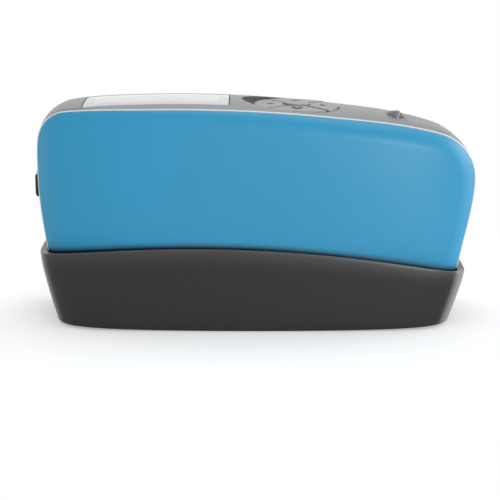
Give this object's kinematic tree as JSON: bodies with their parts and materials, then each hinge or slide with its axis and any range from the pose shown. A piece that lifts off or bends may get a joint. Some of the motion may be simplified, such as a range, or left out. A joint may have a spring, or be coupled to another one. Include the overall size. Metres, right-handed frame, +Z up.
{
  "type": "gloss meter",
  "caption": "Handheld gloss meter with domed side covers, display, round keypad, measuring button and port cover, standing in its calibration holder.",
  "frame": {"origin": "bottom centre, on the plane that the holder's feet stand on", "axes": "+X along the body from the display towards the measuring button, +Y from the front cover to the rear cover, +Z up"},
  "size_m": [0.1564, 0.0534, 0.079],
  "materials": {
    "blue_gloss": "smooth glossy blue moulding",
    "grey_satin": "fine satin grey moulding",
    "key_plastic": "satin grey keys",
    "white_trim": "white moulding",
    "display_cover": "pale glossy window",
    "holder_plastic": "dark grey satin moulding",
    "black_rubber": "matt black rubber",
    "steel": "plated steel",
    "black_casting": "black finished casting",
    "green_board": "circuit board",
    "battery_sleeve": "plain plastic sleeve",
    "clear_glass": "clear lens glass",
    "black_glass": "polished black glass"
  },
  "bodies": {
    "instrument": {"body_frame": "grey_satin", "front_cover": "blue_gloss", "rear_cover": "blue_gloss", "front_trim": "white_trim", "rear_trim": "white_trim", "display_window": "display_cover", "display_gasket": "black_rubber", "lcd_panel": "black_glass", "lcd_backlight": "white_trim", "key_mat": "black_rubber", "trigger_switch": "black_rubber", "main_board": "green_board", "board_screw_1": "steel", "board_screw_2": "steel", "board_screw_3": "steel", "board_screw_4": "steel", "usb_socket": "steel", "battery": "battery_sleeve", "battery_clip": "steel", "sole_plate": "black_casting", "sole_screw_1": "steel", "sole_screw_2": "steel", "sole_screw_3": "steel", "sole_screw_4": "steel", "optics_block": "black_casting", "source_led": "display_cover", "source_lens": "clear_glass", "receiver_lens": "clear_glass", "receiver_sensor": "black_rubber", "holder_body": "holder_plastic", "calibration_tile": "black_glass", "tile_retainer": "holder_plastic", "tile_pad": "black_rubber", "foot_1": "black_rubber", "foot_2": "black_rubber", "foot_3": "black_rubber", "foot_4": "black_rubber"},
    "up_key": {"key_up": "key_plastic"},
    "down_key": {"key_down": "key_plastic"},
    "left_key": {"key_left": "key_plastic"},
    "right_key": {"key_right": "key_plastic"},
    "center_key": {"key_center": "key_plastic"},
    "trigger": {"measure_button": "grey_satin"},
    "port_door": {"port_cover": "black_rubber"}
  },
  "joints": [
    {"name": "up_key_press", "type": "slide", "parent": "instrument", "child": "up_key", "axis": [0, 0, -1], "range_m": [0, 0.0005], "stiffness_N_per_m": 400, "springref_m": -0.0005},
    {"name": "down_key_press", "type": "slide", "parent": "instrument", "child": "down_key", "axis": [0, 0, -1], "range_m": [0, 0.0005], "stiffness_N_per_m": 400, "springref_m": -0.0005},
    {"name": "left_key_press", "type": "slide", "parent": "instrument", "child": "left_key", "axis": [0, 0, -1], "range_m": [0, 0.0005], "stiffness_N_per_m": 400, "springref_m": -0.0005},
    {"name": "right_key_press", "type": "slide", "parent": "instrument", "child": "right_key", "axis": [0, 0, -1], "range_m": [0, 0.0005], "stiffness_N_per_m": 400, "springref_m": -0.0005},
    {"name": "center_key_press", "type": "slide", "parent": "instrument", "child": "center_key", "axis": [0, 0, -1], "range_m": [0, 0.0005], "stiffness_N_per_m": 400, "springref_m": -0.0005},
    {"name": "trigger_press", "type": "slide", "parent": "instrument", "child": "trigger", "axis": [0, 0, -1], "range_m": [0, 0.0005], "stiffness_N_per_m": 500, "springref_m": -0.0005},
    {"name": "port_door_hinge", "type": "hinge", "parent": "instrument", "child": "port_door", "pos_m": [-0.0774, 0, 0.0534], "axis": [0, 1, 0], "range_deg": [0, 95]}
  ]
}
